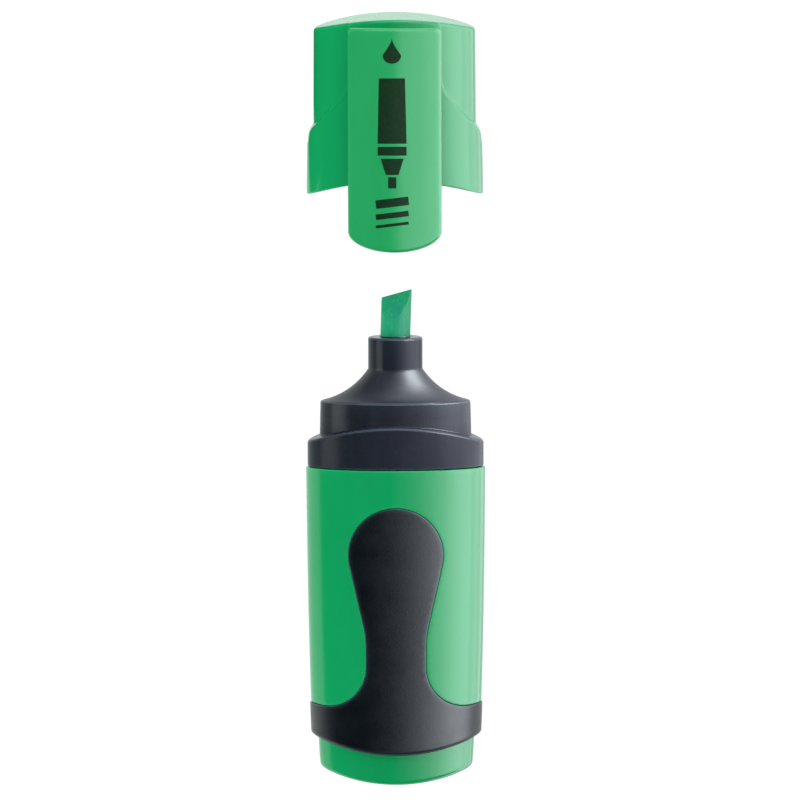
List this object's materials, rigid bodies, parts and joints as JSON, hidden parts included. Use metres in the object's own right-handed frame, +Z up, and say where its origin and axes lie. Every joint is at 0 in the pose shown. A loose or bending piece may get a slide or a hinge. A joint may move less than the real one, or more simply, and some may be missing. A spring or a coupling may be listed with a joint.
{
  "type": "highlighter",
  "caption": "Flat oval pocket highlighter with a chisel nib, a rubber grip band with a tongue on each face, and its clip cap pulled off in line with the pen.",
  "frame": {"origin": "on the flat strip along the middle of the grip's back, which the pen lies on, 24 mm from the tip of the tail", "axes": "+X across the pen, +Y along it from the tail to the nib and the pulled-off cap, +Z up through the face that carries the clip"},
  "size_m": [0.024, 0.1034, 0.0171],
  "materials": {
    "green_plastic": "satin",
    "dark_plastic": "satin",
    "black_rubber": "matte",
    "pale_plastic": "satin",
    "wet_felt": "satin",
    "wet_fibre": "matte",
    "clear_film": "satin"
  },
  "bodies": {
    "pen": {"barrel": "green_plastic", "grip_sleeve": "black_rubber", "tail_plug": "green_plastic", "front_section": "dark_plastic", "nib": "wet_felt", "reservoir_core": "wet_fibre", "reservoir_film": "clear_film"},
    "cap": {"cap_shell": "green_plastic", "inner_cap": "pale_plastic"},
    "clip": {"pocket_clip": "green_plastic"}
  },
  "joints": [
    {"name": "cap_pull", "type": "slide", "parent": "pen", "child": "cap", "axis": [0, 1, 0], "range_m": [-0.03315, 0]},
    {"name": "clip_flex", "type": "hinge", "parent": "cap", "child": "clip", "pos_m": [0, 0.073, 0.0163], "axis": [-1, 0, 0], "range_deg": [0, 4], "stiffness_Nm_per_rad": 0.5}
  ]
}
